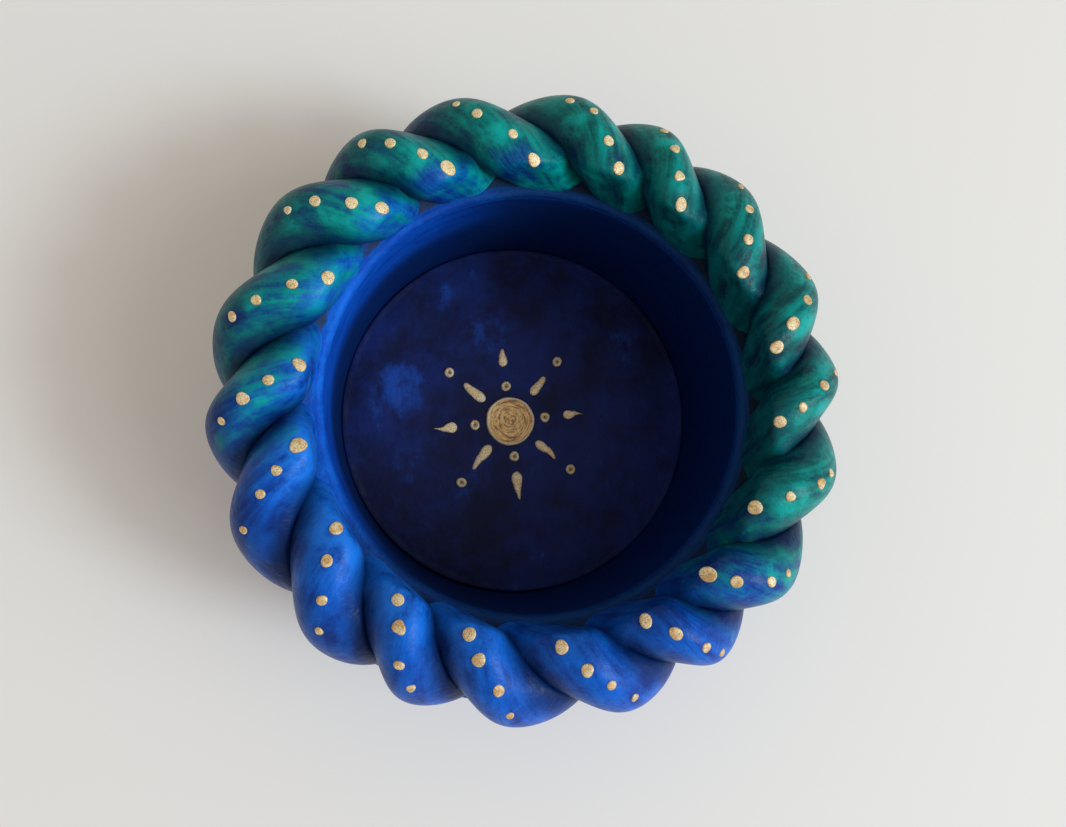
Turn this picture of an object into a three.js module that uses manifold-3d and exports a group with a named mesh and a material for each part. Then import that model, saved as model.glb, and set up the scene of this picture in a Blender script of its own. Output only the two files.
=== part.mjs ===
// A round diya lamp bowl with a twisted two-strand rope laid round its mouth.
// Millimetres, +Z up. The origin is the middle of the base, on the surface the lamp stands on.
import * as THREE from 'three';
import { ParametricGeometry } from 'three/addons/geometries/ParametricGeometry.js';
import { mergeVertices } from 'three/addons/utils/BufferGeometryUtils.js';
import Module from 'manifold-3d';

const wasm = await Module();
wasm.setup();

// ---- driving sizes ----
const clearance = 0.3;         // gap between pieces that are made apart and bedded together
const paintClearance = 0.02;   // a dab of paint stops short of its neighbour by at least this

const wellDiameter = 61;       // the round well that takes the oil and the wick
const wellDepth = 26.4;        // from the lip down to the floor
const floorThickness = 4.2;
const floorEdgeBreak = 0.4;    // chamfer round the upper edge of the floor disc

const lipThickness = 1.5;      // wall left between the well and the rope
const rimBeadHeight = 1.2;     // smoothed bead of slip that finishes the lip

const ropeDiameter = 17.6;     // over both strands
const ropeTurns = 9;           // full turns that each strand makes round the ring
const ropePressedIn = 4.6;     // how far the rope is pressed against the lip
const ropeRise = 1.5;          // the rope's middle above the lip
const firstLobeBearing = 88.0; // where strand a stands furthest out, degrees from +X towards +Y

const bodyInset = 1.4;         // the body's side stands back this far from the rope's outermost line
const bodyFootInset = 2.6;     // the foot stands back this much further
const bodyEdgeRadius = 1.0;    // rounding of the body's upper edge
const footEdgeRadius = 2.4;    // rounding of the body's lower edge

const sunCentreX = -1.3;       // the emblem is painted a little off the middle of the floor
const sunCentreY = -0.9;
const sunTurn = 7;             // the emblem's own turn, degrees
const sunDiscRadius = 4.3;
const sunRimWidth = 0.55;      // raised band round the sun's disc
const sunRimHeight = 0.6;
const sunDiscHeight = 0.45;
const rayHeight = 0.5;
const nearDotDistance = 6.25;  // small dots close to the disc, on the four main bearings
const farDotDistance = 13.7;   // small dots at the emblem's corners
const sunDotRadius = 0.88;
const sunDotHeight = 0.6;
const mainRayDistance = 11.4;  // middle of the drops on the four main bearings
const cornerRayDistance = 8.1; // middle of the drops between them

// the eight drops, anticlockwise from +X: length and width of each dab
const mainRays = [[3.6, 1.6], [3.1, 1.6], [3.9, 1.9], [4.8, 1.9]];
const cornerRays = [[3.9, 1.6], [4.6, 1.8], [5.0, 1.8], [4.5, 1.5]];

// ---- fineness of the faceted solids ----
const turnedSegments = 72;     // round the bowl
const stepsPerTurn = 16;       // along one turn of a strand
const strandSides = 12;
const smallSegments = 16;      // round a painted dot

// ---- sizes that follow ----
const wellRadius = wellDiameter / 2;
const lipHeight = floorThickness + wellDepth;
const lipOuterRadius = wellRadius + lipThickness;
const ropeRadius = ropeDiameter / 2;
const ringRadius = lipOuterRadius + ropeRadius - ropePressedIn;
const ropeHeight = lipHeight + ropeRise;
const bodyRadius = ringRadius + ropeRadius - bodyInset;
const footRadius = bodyRadius - bodyFootInset;
const coveRadius = ropeRadius + clearance;
const wallTop = lipHeight - rimBeadHeight;

const radians = THREE.MathUtils.degToRad;

// Strands in a two-strand rope are closest a little way round from each other, not straight across.
function closestStrandDistance(helixRadius) {
  const innerPitch = (ringRadius - helixRadius) / ropeTurns; // travel per radian on the ring's tight inner side
  let closest = 2 * helixRadius;
  for (let turn = 0; turn < Math.PI; turn += 0.01) {
    const across = 2 * helixRadius ** 2 * (1 + Math.cos(turn));
    closest = Math.min(closest, Math.sqrt(across + (innerPitch * turn) ** 2));
  }
  return closest;
}

// The thickest strands that fit in the rope without touching: their helix and their own radius.
function fitStrands() {
  let helixRadius = ropeRadius / 2;
  let strandRadius = ropeRadius / 2;
  for (let round = 0; round < 40; round++) {
    strandRadius = (closestStrandDistance(helixRadius) - clearance) / 2;
    helixRadius = (helixRadius + ropeRadius - strandRadius) / 2;
  }
  return { helixRadius, strandRadius };
}

const { helixRadius, strandRadius } = fitStrands();

// ---- helpers ----
function positionsOnly(geometry) {
  geometry.deleteAttribute('normal');
  geometry.deleteAttribute('uv');
  return mergeVertices(geometry, 1e-4);
}

function toSolid(geometry) {
  const merged = positionsOnly(geometry);
  return new wasm.Manifold(new wasm.Mesh({
    numProp: 3,
    vertProperties: new Float32Array(merged.attributes.position.array),
    triVerts: new Uint32Array(merged.index.array),
  }));
}

function fromSolid(solid) {
  const mesh = solid.getMesh();
  const geometry = new THREE.BufferGeometry();
  geometry.setAttribute('position', new THREE.BufferAttribute(mesh.vertProperties, 3));
  geometry.setIndex(new THREE.BufferAttribute(mesh.triVerts, 1));
  geometry.computeVertexNormals();
  return geometry;
}

// A solid of revolution about Z from a profile of (radius, height) points, anticlockwise.
function turned(profile, segments) {
  const geometry = new THREE.LatheGeometry(profile, segments);
  geometry.rotateX(Math.PI / 2);
  return positionsOnly(geometry);
}

function arc(centreX, centreY, radius, fromAngle, toAngle, divisions) {
  const points = [];
  for (let i = 0; i <= divisions; i++) {
    const angle = THREE.MathUtils.lerp(fromAngle, toAngle, i / divisions);
    points.push(new THREE.Vector2(centreX + radius * Math.cos(angle), centreY + radius * Math.sin(angle)));
  }
  return points;
}

const model = new THREE.Group();

function addPiece(name, geometry, material, parent = model) {
  const mesh = new THREE.Mesh(geometry, material);
  mesh.name = name;
  parent.add(mesh);
  return mesh;
}

const paint = (color, roughness) => new THREE.MeshStandardMaterial({ color, roughness, metalness: 0 });
const gold = () => new THREE.MeshStandardMaterial({ color: 0xc9a25a, roughness: 0.38, metalness: 0.75 });

// ---- floor disc, set inside the wall ----
function floorDisc() {
  const radius = wellRadius - clearance;
  return turned([
    new THREE.Vector2(0, 0),
    new THREE.Vector2(radius, 0),
    new THREE.Vector2(radius, floorThickness - floorEdgeBreak),
    new THREE.Vector2(radius - floorEdgeBreak, floorThickness),
    new THREE.Vector2(0, floorThickness),
  ], turnedSegments);
}

// ---- thick cup wall, with a cove in its shoulder that beds the rope ----
function cupWall() {
  const shoulderRadius = bodyRadius - bodyEdgeRadius;
  const coveAngle = (radius) => Math.acos((radius - ringRadius) / coveRadius);
  const coveOuter = -coveAngle(shoulderRadius);
  const coveInner = -coveAngle(lipOuterRadius);
  const cove = arc(ringRadius, ropeHeight, coveRadius, coveOuter, coveInner, 8);
  const shoulderHeight = cove[0].y;
  const edge = arc(shoulderRadius, shoulderHeight - bodyEdgeRadius, bodyEdgeRadius, 0, Math.PI / 2, 3);
  const foot = arc(footRadius - footEdgeRadius, footEdgeRadius, footEdgeRadius, -Math.PI / 2, 0, 4);
  return turned([
    new THREE.Vector2(wellRadius, 0),
    ...foot,
    ...edge.slice(0, -1),
    ...cove,
    new THREE.Vector2(lipOuterRadius, wallTop),
    new THREE.Vector2(wellRadius, wallTop),
    new THREE.Vector2(wellRadius, 0),
  ], turnedSegments);
}

// ---- rounded bead along the lip ----
function rimBead() {
  const radius = lipThickness / 2;
  const crown = arc(wellRadius + radius, lipHeight - radius, radius, 0, Math.PI, 6);
  return turned([
    new THREE.Vector2(wellRadius, wallTop),
    new THREE.Vector2(lipOuterRadius, wallTop),
    ...crown,
    new THREE.Vector2(wellRadius, wallTop),
  ], turnedSegments);
}

// ---- one strand: a tube on a helix that is wound round the ring, trimmed where the lip stands ----
function strandCentre(along, startTurn, target) {
  const bearing = -2 * Math.PI * along;
  const phase = ropeTurns * 2 * Math.PI * along + startTurn; // 0 at the outside, a quarter turn on it is on top
  const reach = ringRadius + helixRadius * Math.cos(phase);
  const turnedBearing = bearing + radians(firstLobeBearing);
  return target.set(
    reach * Math.cos(turnedBearing),
    reach * Math.sin(turnedBearing),
    ropeHeight + helixRadius * Math.sin(phase),
  );
}

function strand(startTurn) {
  const here = new THREE.Vector3();
  const ahead = new THREE.Vector3();
  const outward = new THREE.Vector3();
  const side = new THREE.Vector3();
  const tangent = new THREE.Vector3();
  const surface = (aroundTube, along, target) => {
    strandCentre(along, startTurn, here);
    strandCentre(along + 1e-4, startTurn, ahead);
    tangent.subVectors(ahead, here).normalize();
    const phase = ropeTurns * 2 * Math.PI * along + startTurn;
    const bearing = radians(firstLobeBearing) - 2 * Math.PI * along;
    // from the rope's middle line out through the strand
    outward.set(Math.cos(phase) * Math.cos(bearing), Math.cos(phase) * Math.sin(bearing), Math.sin(phase));
    side.crossVectors(tangent, outward).normalize();
    outward.crossVectors(side, tangent).normalize();
    const angle = 2 * Math.PI * aroundTube;
    target.copy(here)
      .addScaledVector(outward, strandRadius * Math.cos(angle))
      .addScaledVector(side, strandRadius * Math.sin(angle));
  };
  const tube = toSolid(new ParametricGeometry(surface, strandSides, ropeTurns * stepsPerTurn));
  const trimHeight = 2 * ropeDiameter;
  const lipPlug = new THREE.CylinderGeometry(
    lipOuterRadius + clearance, lipOuterRadius + clearance, trimHeight, turnedSegments);
  lipPlug.rotateX(Math.PI / 2);
  lipPlug.translate(0, 0, ropeHeight);
  return fromSolid(tube.subtract(toSolid(lipPlug)));
}

// ---- painted sun on the floor ----
// A drop: round at its fat end, drawn out to a point. Its length lies along +X, the fat end inwards.
function drop(length, width) {
  const endRadius = width / 2;
  const shape = new THREE.Shape();
  const fatCentre = -length / 2 + endRadius;
  shape.moveTo(length / 2, 0);
  shape.quadraticCurveTo(length * 0.1, endRadius, fatCentre, endRadius);
  shape.absarc(fatCentre, 0, endRadius, Math.PI / 2, 1.5 * Math.PI, false);
  shape.quadraticCurveTo(length * 0.1, -endRadius, length / 2, 0);
  return new THREE.ExtrudeGeometry(shape, { depth: rayHeight, bevelEnabled: false, curveSegments: 6 });
}

// A low dome: a dab of thick paint.
function dab(radius, height) {
  const profile = [new THREE.Vector2(0, 0)];
  for (let i = 0; i <= 4; i++) {
    const angle = (i / 4) * (Math.PI / 2);
    profile.push(new THREE.Vector2(i === 4 ? 0 : radius * Math.cos(angle), height * Math.sin(angle)));
  }
  return turned(profile, smallSegments);
}

function sunDisc() {
  const rimInner = sunDiscRadius - sunRimWidth;
  return turned([
    new THREE.Vector2(0, 0),
    new THREE.Vector2(sunDiscRadius, 0),
    new THREE.Vector2(sunDiscRadius - 0.25 * sunRimWidth, sunRimHeight),
    new THREE.Vector2(rimInner + 0.25 * sunRimWidth, sunRimHeight),
    new THREE.Vector2(rimInner, sunDiscHeight),
    new THREE.Vector2(0, sunDiscHeight),
  ], 2 * smallSegments);
}

addPiece('floor_disc', floorDisc(), paint(0x10194a, 0.5));
addPiece('cup_wall', cupWall(), paint(0x123a9c, 0.45));
addPiece('rim_bead', rimBead(), paint(0x1a5fc8, 0.4));
addPiece('rope_strand_a', strand(0), paint(0x0b6a66, 0.35));
addPiece('rope_strand_b', strand(Math.PI), paint(0x1b4cb8, 0.35));

const sun = new THREE.Group();
sun.position.set(sunCentreX, sunCentreY, floorThickness);
sun.rotation.z = radians(sunTurn);
model.add(sun);

addPiece('sun_disc', sunDisc(), gold(), sun);

function placeOnBearing(mesh, bearing, distance) {
  mesh.rotation.z = bearing;
  mesh.position.set(distance * Math.cos(bearing), distance * Math.sin(bearing), paintClearance);
}

for (let quarter = 0; quarter < 4; quarter++) {
  const main = quarter * Math.PI / 2;
  const corner = main + Math.PI / 4;
  const number = quarter + 1;
  placeOnBearing(addPiece(`sun_near_dot_${number}`, dab(sunDotRadius, sunDotHeight), gold(), sun),
    main, nearDotDistance);
  placeOnBearing(addPiece(`sun_far_dot_${number}`, dab(sunDotRadius, sunDotHeight), gold(), sun),
    corner, farDotDistance);
  placeOnBearing(addPiece(`sun_main_ray_${number}`, drop(...mainRays[quarter]), gold(), sun),
    main, mainRayDistance);
  placeOnBearing(addPiece(`sun_corner_ray_${number}`, drop(...cornerRays[quarter]), gold(), sun),
    corner, cornerRayDistance);
}

export default model;
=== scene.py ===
import math
import bpy
import numpy as np
from mathutils import Matrix, Vector


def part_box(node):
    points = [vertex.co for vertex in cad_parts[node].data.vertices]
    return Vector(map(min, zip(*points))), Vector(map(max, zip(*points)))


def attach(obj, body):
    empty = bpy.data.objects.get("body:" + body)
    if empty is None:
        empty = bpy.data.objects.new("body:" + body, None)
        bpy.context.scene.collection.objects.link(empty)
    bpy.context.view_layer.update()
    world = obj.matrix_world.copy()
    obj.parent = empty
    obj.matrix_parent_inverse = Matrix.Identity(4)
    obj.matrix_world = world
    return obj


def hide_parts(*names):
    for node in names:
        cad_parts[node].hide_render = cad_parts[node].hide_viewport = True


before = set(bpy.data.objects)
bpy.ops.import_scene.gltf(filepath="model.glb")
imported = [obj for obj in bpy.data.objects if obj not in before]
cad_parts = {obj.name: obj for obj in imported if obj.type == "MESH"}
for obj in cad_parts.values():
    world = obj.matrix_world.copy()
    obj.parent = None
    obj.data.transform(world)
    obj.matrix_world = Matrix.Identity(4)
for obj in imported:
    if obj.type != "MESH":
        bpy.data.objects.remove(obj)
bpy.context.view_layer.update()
mm = 0.001
fullTurn = 2 * math.pi
fineGrain = 5200.0           # noise cells per metre, in the matt paint of the wall, lip and floor

# ---- places and sizes that come from the frame ----
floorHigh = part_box("floor_disc")[1]
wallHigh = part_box("cup_wall")[1]
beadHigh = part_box("rim_bead")[1]
strandLow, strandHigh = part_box("rope_strand_a")
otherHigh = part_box("rope_strand_b")[1]
sunLow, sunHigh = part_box("sun_disc")

floorTop = floorHigh.z
floorRadius = floorHigh.x
wellRadius = floorRadius + 0.3 * mm          # the clearance that the floor disc keeps
lipHeight = beadHigh.z
wallTop = wallHigh.z
lipOuterRadius = beadHigh.x
bodyRadius = wallHigh.x
ropeHeight = (strandLow.z + strandHigh.z) / 2
ropeRadius = (strandHigh.z - strandLow.z) / 2
ropeOuterRadius = max(otherHigh.x, strandHigh.x, strandHigh.y, otherHigh.y)
ringRadius = ropeOuterRadius - ropeRadius
sunCentre = np.array([(sunLow.x + sunHigh.x) / 2, (sunLow.y + sunHigh.y) / 2])
print("frame read: lip at %.1f mm, rope %.1f mm across" % (lipHeight / mm, 2 * ropeOuterRadius / mm))


# ---- mesh helpers ----
def gridMesh(name, points, capped=False):
    # points is solids x rows x columns x 3. Quads join neighbours and the columns close into a ring. The rows
    # close too, or, where capped, the first and last row are each shut by a fan to its middle.
    solids, rows, columns = points.shape[:3]
    index = np.arange(solids * rows * columns).reshape(solids, rows, columns)
    here = index[:, :-1] if capped else index
    following = index[:, 1:] if capped else np.roll(index, -1, 1)
    quads = np.stack([here, following, np.roll(following, -1, 2), np.roll(here, -1, 2)], -1).reshape(-1, 4)
    vertices = points.reshape(-1, 3)
    loops, sizes = [quads.ravel()], [np.full(len(quads), 4)]
    if capped:
        for row, turn in ((0, 1), (-1, -1)):
            ring = index[:, row]
            middles = len(vertices) + np.arange(solids)
            vertices = np.vstack([vertices, points[:, row].mean(1)])
            fan = np.stack([ring, np.roll(ring, -1, 1), np.repeat(middles[:, None], columns, 1)], -1)
            fan = fan.reshape(-1, 3)[:, ::turn]
            loops.append(fan.ravel())
            sizes.append(np.full(len(fan), 3))
    loops, sizes = np.concatenate(loops), np.concatenate(sizes)
    mesh = bpy.data.meshes.new(name)
    mesh.vertices.add(len(vertices))
    mesh.vertices.foreach_set("co", vertices.astype(np.float32).ravel())
    mesh.loops.add(len(loops))
    mesh.loops.foreach_set("vertex_index", loops.astype(np.int32))
    mesh.polygons.add(len(sizes))
    mesh.polygons.foreach_set("loop_start", (np.cumsum(sizes) - sizes).astype(np.int32))
    mesh.polygons.foreach_set("use_smooth", np.ones(len(sizes), bool))
    mesh.update(calc_edges=True)
    mesh.validate()
    mesh.calc_loop_triangles()
    triangles = np.empty(len(mesh.loop_triangles) * 3, np.int32)
    mesh.loop_triangles.foreach_get("vertices", triangles)
    first, second, third = (vertices[triangles[start::3]] for start in range(3))
    if np.sum(first * np.cross(second, third)) < 0:     # six times the volume: below 0 is inside out
        mesh.flip_normals()
    return mesh


def setValues(mesh, name, values):
    # a number or a vector for each grid point; the caps' middles, which come last, take the last one
    vector = values.shape[-1] == 3 and values.ndim == 4
    values = values.reshape(-1, 3) if vector else values.reshape(-1, 1)
    values = np.vstack([values, np.repeat(values[-1:], len(mesh.vertices) - len(values), 0)])
    kind, field = ("FLOAT_VECTOR", "vector") if vector else ("FLOAT", "value")
    attribute = mesh.attributes.new(name, kind, "POINT")
    attribute.data.foreach_set(field, values.astype(np.float32).ravel())


def finishPiece(mesh, material, node=None):
    piece = bpy.data.objects.new(mesh.name, mesh)
    bpy.context.scene.collection.objects.link(piece)
    mesh.materials.append(material)
    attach(piece, "root")
    if node:
        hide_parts(node)


def waves(angle, parts):
    # a slow hand-made wander: the sum of size * cos(times * (angle - from)) over the parts
    return sum(size * np.cos(times * (angle - math.radians(begin))) for times, size, begin in parts)


def softFloor(value, lowest, width):
    # value where it is well above lowest, and never under it:
    # lowest + width * ln(1 + e^((value - lowest) / width))
    return lowest + width * np.logaddexp(0, (value - lowest) / width)


def smoothStep(value, start, end):
    share = np.clip((value - start) / (end - start), 0, 1)
    return share * share * (3 - 2 * share)


# ---- shader helpers ----
class Wire:
    # a node's output; Python maths on it adds Math nodes
    def __init__(self, graph, socket):
        self.graph = graph
        self.socket = socket

    def maths(self, operation, first, second):
        return self.graph.add("ShaderNodeMath", {"operation": operation}, {0: first, 1: second})

    def __add__(self, other):
        return self.maths("ADD", self, other)

    def __radd__(self, other):
        return self.maths("ADD", other, self)

    def __sub__(self, other):
        return self.maths("SUBTRACT", self, other)

    def __rsub__(self, other):
        return self.maths("SUBTRACT", other, self)

    def __mul__(self, other):
        return self.maths("MULTIPLY", self, other)

    def __rmul__(self, other):
        return self.maths("MULTIPLY", other, self)

    def between(self, start, end):
        # 0 below start, 1 above end, smooth on the way
        return self.graph.add("ShaderNodeMapRange", {"interpolation_type": "SMOOTHSTEP"},
                              {"Value": self, "From Min": start, "From Max": end})


class Graph:
    # one material's nodes
    def __init__(self, name):
        self.material = bpy.data.materials.new(name)
        self.material.use_nodes = True
        self.tree = self.material.node_tree
        self.tree.nodes.clear()
        self.place = self.add("ShaderNodeTexCoord", {}, {}, "Object")

    def add(self, kind, settings, sockets, output=0):
        node = self.tree.nodes.new(kind)
        for name, value in settings.items():
            setattr(node, name, value)
        for key, value in sockets.items():
            if isinstance(value, Wire):
                self.tree.links.new(value.socket, node.inputs[key])
            else:
                node.inputs[key].default_value = value
        return None if output is None else Wire(self, node.outputs[output])

    def attribute(self, name, output="Fac"):
        return self.add("ShaderNodeAttribute", {"attribute_name": name}, {}, output)

    def noise(self, vector, scale, detail=4.0, roughness=0.55, stretch=(1, 1, 1), shift=(0, 0, 0)):
        moved = self.add("ShaderNodeMapping", {}, {"Vector": vector, "Location": shift, "Scale": stretch})
        return self.add("ShaderNodeTexNoise", {},
                        {"Vector": moved, "Scale": scale, "Detail": detail, "Roughness": roughness})

    def mix(self, share, first, second):
        return self.add("ShaderNodeMix", {"data_type": "RGBA"}, {0: share, 6: first, 7: second}, 2)

    def distance(self, centre):
        sockets = {0: self.place, 1: centre}
        return self.add("ShaderNodeVectorMath", {"operation": "DISTANCE"}, sockets, "Value")

    def bump(self, height, depth, under=None):
        sockets = {"Height": height, "Distance": depth}
        if under is not None:
            sockets["Normal"] = under
        return self.add("ShaderNodeBump", {}, sockets, "Normal")

    def finish(self, sockets):
        surface = self.add("ShaderNodeBsdfPrincipled", {}, sockets)
        self.add("ShaderNodeOutputMaterial", {}, {"Surface": surface}, None)
        return self.material


def paintColour(red, green, blue):
    # 0 to 255 screen values as the linear colour that shaders take
    linear = [value / 255 / 12.92 if value <= 10 else ((value / 255 + 0.055) / 1.055) ** 2.4
              for value in (red, green, blue)]
    return (*linear, 1.0)


pigment = {
    "deepBlue": paintColour(4, 52, 140),
    "cobalt": paintColour(12, 100, 212),
    "litEndBlue": paintColour(34, 128, 240),
    "navy": paintColour(3, 18, 56),
    "deepTeal": paintColour(0, 64, 72),
    "teal": paintColour(0, 146, 140),
    "brightTeal": paintColour(8, 176, 172),
    "dustyViolet": paintColour(58, 68, 104),
    "webDark": paintColour(4, 16, 38),
    "paleGold": paintColour(238, 220, 174),
    "cream": paintColour(255, 240, 200),
    "sunlit": paintColour(255, 224, 158),
    "gold": paintColour(204, 162, 96),
    "richGold": paintColour(250, 196, 112),
    "bronze": paintColour(128, 84, 40),
    "umber": paintColour(84, 52, 28),
    "floorDeep": paintColour(10, 20, 64),
    "floorBlue": paintColour(14, 38, 106),
    "floorPale": paintColour(24, 84, 188),
    "floorSpeck": paintColour(4, 6, 16),
    "wallBright": paintColour(6, 88, 206),
    "wallBlue": paintColour(3, 58, 158),
    "wallDark": paintColour(0, 34, 88),
    "lipBright": paintColour(18, 112, 230),
    "lipBlue": paintColour(4, 74, 184),
    "lipDark": paintColour(2, 30, 52),
}


# ---- the rope's paint: teal passing to cobalt round the ring, brushed along the strands ----
ropePaintLook = {
    "strokeScale": 520.0,      # brush hairs, per metre across the strand
    "mottleScale": 240.0,
    "fineScale": 2400.0,
    "strokeDepth": 0.00005,    # metres
    "lumpDepth": 0.00040,
    "specular": 0.13,
}


def ropePaint():
    look = ropePaintLook
    graph = Graph("rope_paint")
    brush = graph.attribute("brushPlace", "Vector")
    teal, shadeAndDarkPaint, inner = graph.attribute("teal"), graph.attribute("shadeAndDarkPaint"), graph.attribute("inner")
    strokes = graph.noise(brush, look["strokeScale"], 7.0, 0.68, (1, 1, 0.25))
    smudge = graph.noise(brush, look["mottleScale"], 5.0, 0.6, (1, 1, 0.75), (3.1, 1.7, 0.4))
    mottle = graph.noise(graph.place, look["mottleScale"], 5.0, 0.6)
    fine = graph.noise(graph.place, look["fineScale"], 3.0, 0.7)
    share = teal + (smudge - 0.5) * 1.0 + (strokes - 0.5) * 0.2 + (mottle - 0.5) * 0.8
    share = share.between(0.20, 0.80)
    lightness = (smudge * 0.45 + strokes * 0.15 + mottle * 0.30 + fine * 0.10).between(0.38, 0.59)
    blue = graph.mix(lightness, pigment["deepBlue"], pigment["cobalt"])
    # painted light: the inner ends on the side that faces the key are painted a brighter blue
    blue = graph.mix(inner * mottle.between(0.32, 0.56) * 0.75, blue, pigment["litEndBlue"])
    green = graph.mix(lightness, pigment["deepTeal"], pigment["teal"])
    green = graph.mix(mottle.between(0.50, 0.68) * 0.6, green, pigment["brightTeal"])
    colour = graph.mix(share, blue, green)
    # painted shade: the creases and shaded sides turn to navy, partly as darker paint
    colour = graph.mix(shadeAndDarkPaint, colour, pigment["navy"])
    roughness = 0.24 + 0.14 * strokes + 0.08 * fine
    normal = graph.bump(mottle, look["lumpDepth"])
    normal = graph.bump(strokes * 0.6 + fine * 0.4, look["strokeDepth"], normal)
    return graph.finish({"Base Color": colour, "Roughness": roughness, "Normal": normal,
                         "Specular IOR Level": look["specular"]})


# ---- the two strands of the rope ----
lobeCount = 18
lobeStep = 360 / lobeCount

ropeLook = {
    "turns": 9,
    "firstLobe": 88.5,              # bearing of a lobe's outermost point, degrees from +X towards +Y
    "helixRadius": 3.0 * mm,        # the rope's middle line to the middle of the strand's slice
    "strandRadius": 5.95 * mm,      # from there out to the rope's skin
    "strandHalfWidth": 6.15 * mm,   # across the strand, in a slice square to the ring
    "halfGap": 0.03 * mm,
    "pressWidth": 0.26 * mm,        # how tightly the strands' flats curve into their backs
    "phaseSway": 0.08,              # the twist is a little uneven, so the lobes bend as they come over
    "droop": 0.09,                  # the rope hangs down outwards: height lost over reach gained
    "innerRadius": 31.4 * mm,       # the lobes' inner ends are pressed back to this line
    "innerSoftness": 0.45 * mm,
    "leadRounding": 1.0 * mm,       # pressed further back towards the crease that leads
    "tailRounding": 4.2 * mm,       # and much further towards the one behind, which blunts the end
    "lobeWander": [(1, 0.9, 130), (6, 1.3, 10)],    # degrees: the twist is not quite even round the ring
    "sizeWander": [(3, 0.018, 10), (7, 0.016, 70), (11, 0.012, 200)],     # share of the strand
    "ringWander": [(1, 0.3 * mm, 275), (2, 0.15 * mm, 110)],              # the ring is not quite round
    "litEndBearing": 255,             # degrees clockwise from +Y: painted light, the inner ends that face the key are painted brightest blue here
    "outerShade": (280, 0.60, 0.6),  # painted shade, darker outwards on the flanks that face away from the key: bearing, strength, and power of the fall-off
    "innerShadeAndDarkPaint": (95, 0.68, 0.5),   # and towards the well on the other side: painted shade where the inner ends lie in shadow, partly darker paint
    "alongSteps": 1080,
    "aroundSteps": 64,
}


def strandSurface(look, which, along, around):
    # along and around run 0 to 1. The strand's middle goes round the ring clockwise while it turns about the
    # rope's middle line. Its slice, square to the ring, is an ellipse pressed flat where the strands meet;
    # the slice droops outwards, and over the well its reach is pressed back to the inner line.
    start = 90 - look["firstLobe"] + lobeStep * (which - 0.5)
    clockwise = math.radians(start) + fullTurn * along
    phase = look["turns"] * fullTurn * along - math.pi / 2
    bearing = math.pi / 2 - clockwise - np.radians(waves(clockwise, look["lobeWander"]))
    phase = phase + look["phaseSway"] * np.sin(2 * phase - math.radians(120))
    size = 1 + waves(clockwise + which, look["sizeWander"])
    angle = fullTurn * around
    out = look["helixRadius"] + look["strandRadius"] * size * np.cos(angle)
    across = look["strandHalfWidth"] * size * np.sin(angle)
    out = softFloor(out, look["halfGap"], look["pressWidth"])
    outwards = out * np.cos(phase) - across * np.sin(phase)
    reach = ringRadius + outwards + waves(clockwise, look["ringWander"])
    height = ropeHeight + out * np.sin(phase) + across * np.cos(phase) - look["droop"] * outwards
    lead = np.arctan2(across, out) / (math.pi / 2)        # 1 at the leading crease, -1 at the one behind
    fromRidge = np.abs(lead)
    leading = look["leadRounding"] * fromRidge ** 4
    trailing = look["tailRounding"] * fromRidge ** 2.2
    inner = look["innerRadius"] + np.where(lead > 0, leading, trailing)
    reach = softFloor(reach, inner, look["innerSoftness"])
    points = np.stack([reach * np.cos(bearing), reach * np.sin(bearing), height], -1)
    return points, fromRidge, clockwise + 0 * angle, reach


# how teal the paint is, by bearing clockwise from +Y: 1 is teal, 0 is cobalt
tealStops = [(0, 0.86), (20, 0.96), (60, 1.0), (108, 0.90), (128, 0.55), (145, 0.20), (165, 0.14),
             (200, 0.06), (240, 0.02), (258, 0.32), (275, 0.58), (300, 0.70), (330, 0.70), (360, 0.86)]


def facing(clockwise, bearing, power=1.0):
    # 1 at the bearing, falling to 0 a quarter turn from it
    return np.clip(np.cos(clockwise - math.radians(bearing)), 0, 1) ** power


def tealAround(clockwise):
    bearings, shares = np.array(tealStops, float).T
    return np.interp(np.degrees(clockwise) % 360, bearings, shares)


def tealShare(clockwise, reach):
    upperLeft = facing(clockwise, 312, 1.2)     # blue near the lip there
    return tealAround(clockwise) - 0.32 * upperLeft * (1 - smoothStep(reach, 31.5 * mm, 36.0 * mm))


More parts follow.
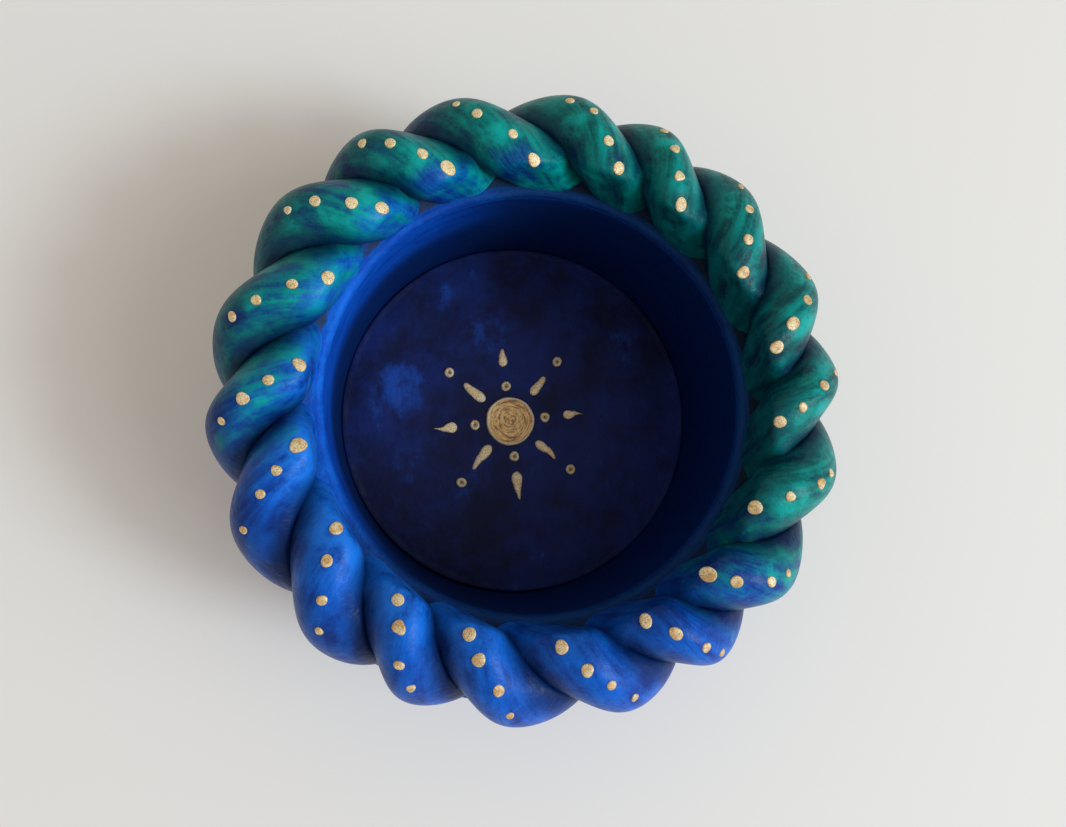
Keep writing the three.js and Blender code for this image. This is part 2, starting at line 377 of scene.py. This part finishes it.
def makeStrand(which, name, node, material):
    look = ropeLook
    along, around = np.meshgrid(np.arange(look["alongSteps"]) / look["alongSteps"],
                                np.arange(look["aroundSteps"]) / look["aroundSteps"], indexing="ij")
    points, fromRidge, clockwise, reach = strandSurface(look, which, along, around)
    mesh = gridMesh(name, points[None, :, ::-1])
    length = np.hypot(ringRadius, look["turns"] * look["helixRadius"]) * fullTurn
    brush = np.stack([look["strandRadius"] * np.cos(fullTurn * around),
                      look["strandRadius"] * np.sin(fullTurn * around), along * length], -1)
    # painted light: share of the brighter blue painted on the inner ends that face the key
    inner = (1 - smoothStep(reach, 32.5 * mm, 38.5 * mm)) * facing(clockwise, look["litEndBearing"])
    setValues(mesh, "brushPlace", brush[None, :, ::-1])
    setValues(mesh, "teal", tealShare(clockwise, reach)[None, :, ::-1])
    outward = smoothStep(reach, 37.5 * mm, 43.0 * mm)
    inward = 1 - smoothStep(reach, 32.0 * mm, 37.0 * mm)
    # painted shade on the outer flanks away from the key, and on the inner ends on the right, where it is
    # partly darker paint
    sideShadeAndDarkPaint = 0
    for band, key in ((outward, "outerShade"), (inward, "innerShadeAndDarkPaint")):
        bearing, strength, power = look[key]
        sideShadeAndDarkPaint = sideShadeAndDarkPaint + strength * band * facing(clockwise, bearing, power)
    # painted shade in the creases, growing from the crown outwards, partly as darker paint, joined with the
    # painted side shade
    shadeAndDarkPaint = np.maximum(0.9 * smoothStep(fromRidge, 0.36, 1.0), sideShadeAndDarkPaint)
    setValues(mesh, "shadeAndDarkPaint", shadeAndDarkPaint[None, :, ::-1])
    setValues(mesh, "inner", inner[None, :, ::-1])
    finishPiece(mesh, material, node)
    return points


ropeMaterial = ropePaint()
strandPoints = [makeStrand(0, "ropeStrandA", "rope_strand_a", ropeMaterial),
                makeStrand(1, "ropeStrandB", "rope_strand_b", ropeMaterial)]
print("strands made")


# ---- gold relief paint ----
goldSpecular = 0.8


def goldPaint():
    graph = Graph("gold_paint")
    grain = graph.noise(graph.place, 5600.0, 2.0, 0.7)
    cloud = graph.noise(graph.place, 900.0, 3.0, 0.6)
    hollow = graph.attribute("hollow")
    glintPale = graph.attribute("glintPale")
    colour = graph.mix((cloud + glintPale * 0.3).between(0.35, 0.65), pigment["gold"], pigment["paleGold"])
    palest = graph.mix(cloud.between(0.42, 0.60), pigment["sunlit"], pigment["cream"])
    # painted highlight: the gold turns paler, to cream, where glints and brighter light are painted
    colour = graph.mix(glintPale, colour, palest)
    colour = graph.mix(grain.between(0.48, 0.66) * 0.75, colour, pigment["bronze"])
    # painted shade: umber in the dimples of the sun's dots
    colour = graph.mix(hollow * 0.95, colour, pigment["umber"])
    normal = graph.bump(grain, 0.00008)
    return graph.finish({"Base Color": colour, "Metallic": 0.1, "Roughness": 0.26 + 0.25 * grain,
                         "Normal": normal, "Specular IOR Level": goldSpecular})


# ---- a dab of thick paint: an outline filled with a low crown, its skirt sunk in what it lies on ----
def dabPoints(outline, height, sink, random, dimple=0.0, rings=9, lumps=0.04):
    # outline is points x 2 about the dab's middle. Rings shrink it to the middle; the crown's height is
    # (1 - share ^ 2.6) ^ (1 / 2.6) of the whole, less a soft dimple.
    share = np.sin(np.linspace(0, math.pi / 2, rings))[::-1]     # from the edge to the middle
    share[-1] = 0.02
    hollow = np.exp(-(share / 0.42) ** 2)
    crown = height * ((1 - share ** 2.6) ** (1 / 2.6) - dimple * hollow)
    angle = np.arange(len(outline)) / len(outline) * fullTurn
    wobble = waves(angle, [(times, random.normal(0, lumps), random.uniform(0, 360)) for times in (2, 3)])
    edge = outline * (1 + wobble)[:, None]
    flat = np.concatenate([edge[None], edge[None] * share[:, None, None]])
    rise = np.concatenate([[-sink], crown])[:, None, None] * np.ones((1, len(outline), 1))
    return np.concatenate([flat, rise], -1), np.concatenate([[0], hollow])[:, None] * np.ones(len(outline))


def circleOutline(radius, count=28):
    angle = np.arange(count) / count * fullTurn
    return radius * np.stack([np.cos(angle), np.sin(angle)], -1)


# ---- four dabs on each lobe of the rope ----
ropeDotLook = {
    "reach": (42.2 * mm, 39.2 * mm, 35.7 * mm, 32.6 * mm),   # from the lamp's middle, outer dab first
    "past": (2.8, 6.6, 10.9, 15.4),                          # degrees past the lobe's outermost point
    "radius": (0.58 * mm, 0.68 * mm, 0.76 * mm, 0.88 * mm),
    "height": 0.22 * mm,
    "sink": 0.35 * mm,
    "strayReach": 0.25 * mm,
    "strayPast": 0.35,
    "straySize": 0.10,
    "strayShape": 0.10,
    "glintBearing": 330,        # clockwise from +Y: painted glint, the dabs are painted palest here
}


def ropeDots(material):
    # each dab lies at the strand's surface point nearest to its place in plan, square to the surface there
    look = ropeDotLook
    random = np.random.default_rng(18)
    for lobe in range(lobeCount):
        points = strandPoints[lobe % 2]
        ahead = np.roll(points, -1, 0) - np.roll(points, 1, 0)
        sideways = np.roll(points, -1, 1) - np.roll(points, 1, 1)
        normals = np.cross(sideways, ahead)
        normals /= np.linalg.norm(normals, axis=-1, keepdims=True) + 1e-12
        dabs, hollows = [], []
        for dot in range(4):
            stray = random.normal(0, 1, 4)
            clockwise = math.radians(90 - ropeLook["firstLobe"] + lobeStep * lobe + look["past"][dot])
            clockwise += math.radians(waves(clockwise, ropeLook["lobeWander"]) + look["strayPast"] * stray[0])
            reach = look["reach"][dot] + look["strayReach"] * stray[1]
            place = reach * np.array([math.sin(clockwise), math.cos(clockwise)])
            away = np.hypot(points[..., 0] - place[0], points[..., 1] - place[1])
            row, column = np.unravel_index(np.argmin(away + (normals[..., 2] < 0.1)), away.shape)
            normal = normals[row, column]
            side = ahead[row, column] / np.linalg.norm(ahead[row, column])
            turn = np.stack([side, np.cross(normal, side), normal])
            outline = circleOutline(look["radius"][dot] * (1 + look["straySize"] * stray[2]), 24)
            outline[:, 0] *= 1 + look["strayShape"] * abs(stray[3])
            dab, hollow = dabPoints(outline, look["height"], look["sink"], random)
            dabs.append(dab @ turn + points[row, column])
            hollows.append(hollow * 0)
        mesh = gridMesh("ropeDots%02d" % (lobe + 1), np.stack(dabs), capped=True)
        # painted glint: the dabs are painted paler on the lobes towards the bearing of the glints
        glintShare = 0.55 * max(0.0, math.cos(math.radians(lobeStep * lobe - look["glintBearing"]))) ** 2
        setValues(mesh, "hollow", np.stack(hollows))
        setValues(mesh, "glintPale", np.stack(hollows) + glintShare)
        finishPiece(mesh, material)


goldMaterial = goldPaint()
ropeDots(goldMaterial)
print("rope dots made")


# ---- the sun on the floor ----
sunLook = {
    "turn": 7.0,                 # degrees from +X to the first ray
    "rayHeight": 0.42 * mm,
    "dotHeight": 0.50 * mm,
    "sink": 0.25 * mm,
    "dimple": 0.6,
    "discHeight": 0.45 * mm,
    "rimHeight": 0.68 * mm,
    "rimWidth": 0.45 * mm,
    # share of the head's width left at the tip, how round the tip is, and the sideways bend in widths
    "main": ((0.12, 1.2, -0.22), (0.50, 2.2, -0.10), (0.12, 1.2, -0.16), (0.34, 1.8, 0.05)),
    "corner": ((0.62, 3.0, 0.06), (0.66, 2.4, -0.05), (0.45, 3.0, 0.16), (0.52, 2.4, -0.28)),
}


def dropOutline(length, width, tip, roundness, bend, count=48):
    # a drop along +X, head first. Its half-width is width / 2 at the head, shrinks smoothly to tip of that,
    # and closes at both ends: at the head as a circle does, at the tip as 1 - share ^ roundness.
    angle = np.arange(count) / count * fullTurn - math.pi
    along = (1 - np.cos(angle)) / 2
    headEnd = np.sqrt(np.clip(1 - (1 - along / 0.28) ** 2, 0, 1)) * (along < 0.28) + (along >= 0.28)
    tipEnd = np.clip(1 - along ** (4 * roundness), 0, 1) ** 0.5
    half = width / 2 * headEnd * tipEnd * (1 - (1 - tip) * smoothStep(along, 0.15, 0.95))
    y = np.sign(np.sin(angle)) * half + bend * width * ((2 * along - 1) ** 2 - 0.4) * (along > 0.5)
    return np.stack([(along - 0.5) * length, y], -1)


def onFloor(points, x, y, bearing=0.0):
    ahead = np.array([math.cos(bearing), math.sin(bearing), 0])
    turn = np.stack([ahead, [-ahead[1], ahead[0], 0], [0, 0, 1]])
    return points @ turn + np.array([x, y, floorTop])


def sunRays(material):
    look = sunLook
    random = np.random.default_rng(8)
    for kind, first in (("main", 0), ("corner", 45)):
        for number in range(4):
            node = "sun_%s_ray_%d" % (kind, number + 1)
            bearing = math.radians(look["turn"] + first + 90 * number)
            ahead = np.array([math.cos(bearing), math.sin(bearing)])
            vertices = np.array([vertex.co[:2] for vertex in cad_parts[node].data.vertices]) - sunCentre
            along, across = vertices @ ahead, vertices @ np.array([-ahead[1], ahead[0]])
            middle = (along.max() + along.min()) / 2 * ahead + sunCentre
            outline = dropOutline(np.ptp(along) * 1.04, np.ptp(across) * 1.04, *look[kind][number])
            dab, hollow = dabPoints(outline, look["rayHeight"], look["sink"], random, lumps=0.012)
            dab = onFloor(dab, middle[0], middle[1], bearing)
            mesh = gridMesh("sunRay%s%d" % (kind.title(), number + 1), dab[None], capped=True)
            setValues(mesh, "hollow", hollow[None] * 0)
            # painted light: the rays are painted paler, to make up for the shade in the well and stand in for
            # the flakes' glints
            setValues(mesh, "glintPale", hollow[None] * 0 + 0.9)
            finishPiece(mesh, material, node)


def sunDots(material):
    look = sunLook
    random = np.random.default_rng(4)
    for kind in ("near", "far"):
        for number in range(1, 5):
            node = "sun_%s_dot_%d" % (kind, number)
            low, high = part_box(node)
            outline = circleOutline((high.x - low.x) / 2)
            dab, hollow = dabPoints(outline, look["dotHeight"], look["sink"], random,
                                    dimple=look["dimple"], rings=14, lumps=0.025)
            dab = onFloor(dab, (low.x + high.x) / 2, (low.y + high.y) / 2)
            mesh = gridMesh("sunDot%s%d" % (kind.title(), number), dab[None], capped=True)
            # painted shade in the dimple
            setValues(mesh, "hollow", hollow[None])
            # painted light: the dots are painted paler, to make up for the shade in the well and stand in for
            # the flakes' glints
            setValues(mesh, "glintPale", hollow[None] * 0 + 0.55)
            finishPiece(mesh, material, node)


def sunDiscPaint():
    graph = Graph("sun_disc_paint")
    grain = graph.noise(graph.place, 4600.0, 2.0, 0.7)
    rim = graph.attribute("rim")
    brushed = graph.noise(graph.attribute("swirl", "Vector"), 1.0, 6.0, 0.7)
    inner = graph.mix(brushed.between(0.38, 0.52), pigment["bronze"], pigment["richGold"])
    inner = graph.mix(brushed.between(0.50, 0.60), inner, pigment["sunlit"])
    colour = graph.mix(rim * 0.9, inner, pigment["cream"])
    colour = graph.mix(grain.between(0.52, 0.68) * 0.5, colour, pigment["bronze"])
    normal = graph.bump(brushed, 0.00016)
    normal = graph.bump(grain, 0.00006, normal)
    return graph.finish({"Base Color": colour, "Metallic": 0.05, "Roughness": 0.26 + 0.28 * grain,
                         "Normal": normal, "Specular IOR Level": goldSpecular})


def sunDisc(material):
    # rings from the skirt to the middle: the height is a raised rim, then a slightly sunk, swirled plate
    look = sunLook
    radius = (sunHigh.x - sunLow.x) / 2
    share = 1 - np.linspace(0, 1, 46) ** 1.3
    share[-1] = 0.006
    shares, angles = np.meshgrid(share, np.arange(120) / 120 * fullTurn, indexing="ij")
    fromEdge = (1 - shares) * radius
    edgeRise = np.sqrt(np.clip(1 - (1 - np.clip(fromEdge / (0.3 * mm), 0, 1)) ** 2, 0, 1))
    rim = np.exp(-((fromEdge - look["rimWidth"] / 2) / (0.55 * look["rimWidth"])) ** 2)
    plate = look["discHeight"] + 0.03 * mm * np.sin(7 * shares * radius / mm + 3 * angles)
    height = edgeRise * (plate + (look["rimHeight"] - look["discHeight"]) * rim)
    reach = shares * radius * (1 + waves(angles, [(3, 0.012, 20), (7, 0.006, 0)]))
    points = np.stack([reach * np.cos(angles), reach * np.sin(angles), height], -1)
    skirt = points[:1] * np.array([1, 1, 0]) - np.array([0, 0, look["sink"]])
    points = onFloor(np.concatenate([skirt, points]), *sunCentre)
    mesh = gridMesh("sunDisc", points[None], capped=True)
    turnIn = angles + 1.6 * shares
    swirl = np.stack([np.cos(turnIn) * 1.3, np.sin(turnIn) * 1.3, shares * radius / mm * 2.4], -1)
    setValues(mesh, "swirl", np.concatenate([swirl[:1], swirl])[None])
    setValues(mesh, "rim", np.concatenate([rim[:1], rim])[None])
    finishPiece(mesh, material, "sun_disc")


sunRays(goldMaterial)
sunDots(goldMaterial)
sunDisc(sunDiscPaint())
print("sun made")


# ---- the cup's wall: the painted well inside, the shoulder and the foot outside ----
wallLook = {
    "footInset": 2.6 * mm,
    "footRound": 2.6 * mm,
    "edgeRound": 1.4 * mm,
    "coveDepth": 0.9 * mm,            # the slip that fills the cove up into the rope
    "wellWander": [(2, 0.10 * mm, 20), (3, 0.07 * mm, 70), (7, 0.03 * mm, 10)],
    "outsideWander": [(2, 0.12 * mm, 60), (5, 0.08 * mm, 0), (9, 0.05 * mm, 30)],
    "roundSteps": 360,
    "litWellBearing": 287,             # clockwise from +Y: painted light, the well is painted brightest blue on this side, which faces the key
}


def wallPaint():
    graph = Graph("wall_paint")
    strokes = graph.noise(graph.attribute("brushPlace", "Vector"), 420.0, 6.0, 0.6)
    mottle = graph.noise(graph.place, 120.0, 5.0, 0.6)
    fine = graph.noise(graph.place, fineGrain, 3.0, 0.6)
    teal, shade = graph.attribute("teal"), graph.attribute("shade")
    lightness = (strokes * 0.5 + mottle * 0.5).between(0.36, 0.64)
    blue = graph.mix(lightness, pigment["wallBlue"], pigment["wallBright"])
    green = graph.mix(lightness, pigment["deepTeal"], pigment["teal"])
    colour = graph.mix((teal + (mottle - 0.5) * 0.8).between(0.3, 0.7), blue, green)
    share = shade + (mottle - 0.5) * 0.5 + (strokes - 0.5) * 0.3
    # painted light and shade: the wall turns to wallDark by the shade attribute, in the well away from the
    # key and towards the floor
    colour = graph.mix(share.between(0.0, 1.0), colour, pigment["wallDark"])
    normal = graph.bump(mottle, 0.0004)
    normal = graph.bump(strokes * 0.7 + fine * 0.3, 0.00005, normal)
    return graph.finish({"Base Color": colour, "Roughness": 0.46 + 0.12 * strokes, "Normal": normal,
                         "Specular IOR Level": 0.12})


def arcPoints(centre, radius, start, end, count):
    angle = np.linspace(start, end, count)
    return np.stack([centre[0] + radius * np.cos(angle), centre[1] + radius * np.sin(angle)], -1)


def linePoints(start, end, count):
    share = np.linspace(0, 1, count, endpoint=False)[:, None]
    return np.asarray(start) * (1 - share) + np.asarray(end) * share


def turnedPiece(name, profile, look):
    # profile is points x 2 of radius and height, anticlockwise; each radius wanders a little with the bearing
    bearing = np.arange(look["roundSteps"]) / look["roundSteps"] * fullTurn
    radius, height = profile[:, 0, None], profile[:, 1, None] + 0 * bearing
    clockwise = math.pi / 2 - bearing + 0 * radius
    inside = 1 - smoothStep(radius, wellRadius + 2 * mm, wellRadius + 6 * mm)
    reach = radius + inside * waves(clockwise, look["wellWander"])
    reach = reach + (1 - inside) * waves(clockwise, look["outsideWander"])
    mesh = gridMesh(name, np.stack([reach * np.cos(bearing), reach * np.sin(bearing), height], -1)[None])
    brush = np.stack([reach * np.cos(bearing) * 0.12, reach * np.sin(bearing) * 0.12, height], -1)
    setValues(mesh, "brushPlace", brush[None])
    return mesh, clockwise, reach, height


def wellShade(look, clockwise, depth):
    # painted light and shade: 0 is the painted-lit bright blue by the lip on the side that faces the key, 1
    # the painted shade opposite and towards the floor; a narrow painted-lit band runs by the lip all round
    turned = (1 - np.cos(clockwise - math.radians(look["litWellBearing"]))) / 2
    bright = (1 - smoothStep(turned, 0.0, 0.42)) * (1 - 0.9 * smoothStep(depth, 5 * mm, 17 * mm))
    return 1 - np.maximum(bright, 0.25 * (1 - smoothStep(depth, 1 * mm, 4 * mm)))


def cupWall(material):
    look = wallLook
    footRadius = bodyRadius - look["footInset"]
    coveRadius = ropeRadius - look["coveDepth"]
    shoulderRadius = bodyRadius - look["edgeRound"]
    coveStart = math.acos(min(1, (shoulderRadius - ringRadius) / coveRadius))
    coveEnd = math.acos(max(-1, (lipOuterRadius - ringRadius) / coveRadius))
    cove = arcPoints((ringRadius, ropeHeight), coveRadius, -coveStart, -coveEnd, 40)
    edge = arcPoints((shoulderRadius, cove[0, 1] - look["edgeRound"]), look["edgeRound"], 0, math.pi / 2, 12)
    footRound = look["footRound"]
    foot = arcPoints((footRadius - footRound, footRound), footRound, -math.pi / 2, 0, 14)
    profile = np.vstack([
        linePoints((wellRadius, 0), foot[0], 14),
        foot,
        linePoints(foot[-1], edge[0], 40)[1:],
        edge[:-1],
        cove,
        linePoints(cove[-1], (lipOuterRadius, wallTop), 10)[1:],
        linePoints((lipOuterRadius, wallTop), (wellRadius, wallTop), 6),
        linePoints((wellRadius, wallTop), (wellRadius, 0), 60),
    ])
    mesh, clockwise, reach, height = turnedPiece("cupWall", profile, look)
    inWell = (reach < wellRadius + 0.6 * mm) & (height > 0.2 * mm)
    setValues(mesh, "teal", np.where(inWell, 0.0, tealAround(clockwise))[None])
    # painted light and shade in the well; a fixed share outside
    shade = wellShade(look, clockwise, lipHeight - height)
    setValues(mesh, "shade", np.where(inWell, shade, 0.35)[None])
    finishPiece(mesh, material, "cup_wall")


# ---- the lip and the slip smoothed out from it between the lobes ----
rimLook = dict(wallLook)
rimLook.update({
    "lipRound": 1.0 * mm,
    "webRise": 0.8 * mm,
    "webRadius": 35.5 * mm,
})


def rimPaint():
    graph = Graph("rim_paint")
    strokes = graph.noise(graph.attribute("brushPlace", "Vector"), 420.0, 6.0, 0.6)
    mottle = graph.noise(graph.place, 420.0, 5.0, 0.65)
    fine = graph.noise(graph.place, fineGrain, 3.0, 0.6)
    teal, web, shade = graph.attribute("teal"), graph.attribute("web"), graph.attribute("shade")
    lightness = (strokes * 0.6 + mottle * 0.4).between(0.36, 0.64)
    colour = graph.mix(lightness, pigment["lipBlue"], pigment["lipBright"])
    colour = graph.mix((teal + (mottle - 0.5) * 1.0).between(0.35, 0.65), colour, pigment["deepTeal"])
    # painted shade: the lip turns dark on the side away from the key
    colour = graph.mix(shade, colour, pigment["lipDark"])
    webShare = (web * (0.4 + mottle)).between(0.45, 0.95) * 0.7
    # the web shows dusky violet slip, and painted shade, webDark, on the side away from the key
    colour = graph.mix(webShare, colour, graph.mix(shade, pigment["dustyViolet"], pigment["webDark"]))
    normal = graph.bump(mottle, 0.0003)
    normal = graph.bump(fine, 0.00005, normal)
    return graph.finish({"Base Color": colour, "Roughness": 0.46 + 0.15 * mottle, "Normal": normal,
                         "Specular IOR Level": 0.1})


def rimBead(material):
    look = rimLook
    crown = arcPoints((wellRadius + look["lipRound"], lipHeight - look["lipRound"]), look["lipRound"],
                      math.pi, math.pi / 2, 14)
    webEnd = (look["webRadius"], lipHeight + look["webRise"])
    profile = np.vstack([
        linePoints((wellRadius + 0.1 * mm, wallTop - 1.2 * mm), crown[0], 8),
        crown[:-1],
        linePoints(crown[-1], webEnd, 20),
        linePoints(webEnd, (look["webRadius"], wallTop - 1.0 * mm), 4),
        linePoints((look["webRadius"], wallTop - 1.0 * mm), (wellRadius + 0.1 * mm, wallTop - 1.2 * mm), 14),
    ])[::-1]
    mesh, clockwise, reach, height = turnedPiece("rimBead", profile, look)
    web = smoothStep(reach, wellRadius + 0.8 * mm, wellRadius + 1.7 * mm)
    webShare = 0.25 + 0.75 * facing(clockwise, 315)
    setValues(mesh, "teal", (tealAround(clockwise) * (0.15 + 0.65 * web))[None])
    # the web's share: the dusky slip shows most to the upper left, and painted shade takes it dark on the
    # shaded side
    setValues(mesh, "web", (web * np.maximum(webShare, wellShade(look, clockwise, 9 * mm + 0 * reach)))[None])
    # painted shade on the lip, from the well's painted light and shade
    setValues(mesh, "shade", wellShade(look, clockwise, 2 * mm + 0 * reach)[None])
    finishPiece(mesh, material, "rim_bead")


cupWall(wallPaint())
rimBead(rimPaint())
print("wall and lip made")


# ---- the floor disc ----
floorLook = {
    "edgeRound": 0.4 * mm,
    # lighter patches: middle and radius in mm, and strength
    "lighterPatches": (((-21.0, 5.0), 8.0, 1.0), ((-5.5, 14.5), 6.5, 0.8), ((-8.5, -11.5), 6.0, 0.6),
               ((20.0, 12.5), 7.0, 0.45), ((-14.0, 21.0), 6.0, 0.5), ((-20.0, -9.0), 7.0, 0.4)),
}


def floorPaint():
    graph = Graph("floor_paint")
    wide = graph.noise(graph.place, 110.0, 6.0, 0.62)
    dry = graph.noise(graph.place, 420.0, 7.0, 0.72, (1.0, 0.55, 1.0))
    fine = graph.noise(graph.place, fineGrain, 3.0, 0.6)
    cells = graph.add("ShaderNodeTexVoronoi", {"feature": "F1"}, {"Vector": graph.place, "Scale": 620.0})
    patch = 0.0
    for middle, radius, strength in floorLook["lighterPatches"]:
        away = graph.distance((middle[0] * mm, middle[1] * mm, floorTop))
        patch = patch + (1 - away.between(0.1 * radius * mm, radius * mm)) * strength
    lighterPatches = (patch * 0.42 + (dry - 0.5) * 1.3 + (wide - 0.5) * 0.9).between(0.16, 0.66)
    deep = graph.mix(wide.between(0.36, 0.66), pigment["floorDeep"], pigment["floorBlue"])
    # the floor turns lighter blue in the listed patches and along the dry-brush streaks
    colour = graph.mix(lighterPatches * 0.75, deep, pigment["floorPale"])
    specks = (1 - cells.between(0.06, 0.13)) * wide.between(0.50, 0.62)
    colour = graph.mix(specks * 0.8, colour, pigment["floorSpeck"])
    worn = graph.attribute("worn") * dry.between(0.40, 0.60)
    colour = graph.mix(worn * 0.35, colour, pigment["dustyViolet"])
    normal = graph.bump(wide, 0.0004)
    normal = graph.bump(dry * 0.6 + fine * 0.4, 0.00006, normal)
    return graph.finish({"Base Color": colour, "Roughness": 0.5 + 0.15 * dry, "Normal": normal,
                         "Specular IOR Level": 0.2})


def floorDisc(material):
    # rings from the middle of the top, over the rounded edge, down and under to the middle of the base
    look = floorLook
    rounding = look["edgeRound"]
    edge = arcPoints((floorRadius + 0.2 * mm - rounding, floorTop - rounding), rounding, math.pi / 2, 0, 8)
    profile = np.vstack([
        linePoints((0.05 * mm, floorTop), edge[0], 60),
        edge,
        linePoints(edge[-1], (floorRadius, 0.0), 8)[1:],
        linePoints((floorRadius, 0.0), (0.05 * mm, 0.0), 20),
        [(0.05 * mm, 0.0)],
    ])
    bearing = np.arange(240) / 240 * fullTurn
    radius, height = profile[:, 0, None], profile[:, 1, None]
    lump = 0.07 * mm * np.sin(radius / mm * 0.35 + 2 * np.cos(bearing + 1)) * np.cos(2 * bearing + 0.5)
    top = (height > floorTop - 0.5 * rounding) * smoothStep(floorRadius - radius, 0.5 * mm, 3 * mm)
    points = np.stack([radius * np.cos(bearing), radius * np.sin(bearing), height + lump * top], -1)
    worn = np.exp(-((radius - floorRadius + 0.55 * mm) / (0.3 * mm)) ** 2) + 0 * bearing
    mesh = gridMesh("floorDisc", points[None, :, ::-1], capped=True)
    setValues(mesh, "worn", worn[None, :, ::-1])
    finishPiece(mesh, material, "floor_disc")


floorDisc(floorPaint())
print("floor made")


# ---- stage, light and camera ----
stageLook = {
    "size": 1.6,
    "colour": paintColour(233, 233, 232),
    "keyBearing": 110.0,       # clockwise from +Y
    "keyHeight": 40.0,         # degrees above the table
    "keyDistance": 1.5,
    "keySize": 1.1,
    "keyPower": 9.4,
    "windowSize": 0.36,        # a smaller, brighter part of the same light, which draws the sheen
    "windowPower": 8.0,
    "keyColour": (0.80, 0.91, 1.0),
    "skyColour": (1.0, 0.88, 0.76, 1.0),
    "skyStrength": 0.55,
}


def stageFloor():
    size = stageLook["size"]
    mesh = bpy.data.meshes.new("stageFloor")
    drop = 0.05 * mm           # just under the base, so that the two faces do not fight
    corners = [(-size, -size, -drop), (size, -size, -drop), (size, size, -drop), (-size, size, -drop)]
    mesh.from_pydata(corners, [], [(0, 1, 2, 3)])
    graph = Graph("stage_paint")
    mesh.materials.append(graph.finish({"Base Color": stageLook["colour"], "Roughness": 0.95}))
    stage = bpy.data.objects.new("stageFloor", mesh)
    bpy.context.scene.collection.objects.link(stage)


def discLight(name, size, power):
    look = stageLook
    light = bpy.data.lights.new(name, "AREA")
    light.shape = "DISK"
    light.size = size
    light.energy = power
    light.color = look["keyColour"]
    clockwise, rise = math.radians(look["keyBearing"]), math.radians(look["keyHeight"])
    flat = math.cos(rise)
    towards = Vector((math.sin(clockwise) * flat, math.cos(clockwise) * flat, math.sin(rise)))
    lamp = bpy.data.objects.new(name, light)
    lamp.location = towards * look["keyDistance"]
    lamp.rotation_euler = towards.to_track_quat("Z", "Y").to_euler()
    bpy.context.scene.collection.objects.link(lamp)


def studioLight():
    look = stageLook
    discLight("keyLight", look["keySize"], look["keyPower"])
    discLight("windowLight", look["windowSize"], look["windowPower"])
    world = bpy.data.worlds.new("softSky")
    world.use_nodes = True
    background = world.node_tree.nodes["Background"]
    background.inputs["Color"].default_value = look["skyColour"]
    background.inputs["Strength"].default_value = look["skyStrength"]
    bpy.context.scene.world = world
    bpy.context.scene.view_settings.view_transform = "Standard"


cameraLook = {
    "distance": 115.4 * mm,    # from the middle of the lip
    "tilt": 10.6,              # degrees off straight down
    "farSide": 50.3,           # bearing of the side away from the camera, clockwise from +Y
    "lens": 27.0,              # for a sensor 36 mm wide
    "shift": (-0.0053, -0.0138),
}


def makeCamera():
    look = cameraLook
    tilt, far = math.radians(look["tilt"]), math.radians(look["farSide"])
    towards = Vector((-math.sin(far) * math.sin(tilt), -math.cos(far) * math.sin(tilt), math.cos(tilt)))
    right = (-towards).cross(Vector((0, 1, 0))).normalized()
    up = right.cross(-towards)
    data = bpy.data.cameras.new("viewCamera")
    data.lens = look["lens"]
    data.sensor_width = 36.0
    data.shift_x, data.shift_y = look["shift"]
    data.clip_start = 0.005
    camera = bpy.data.objects.new("viewCamera", data)
    place = Vector((0, 0, lipHeight)) + towards * look["distance"]
    camera.matrix_world = Matrix.Translation(place) @ Matrix((right, up, towards)).transposed().to_4x4()
    bpy.context.scene.collection.objects.link(camera)
    bpy.context.scene.camera = camera


stageFloor()
studioLight()
makeCamera()
print("stage, light and camera made")
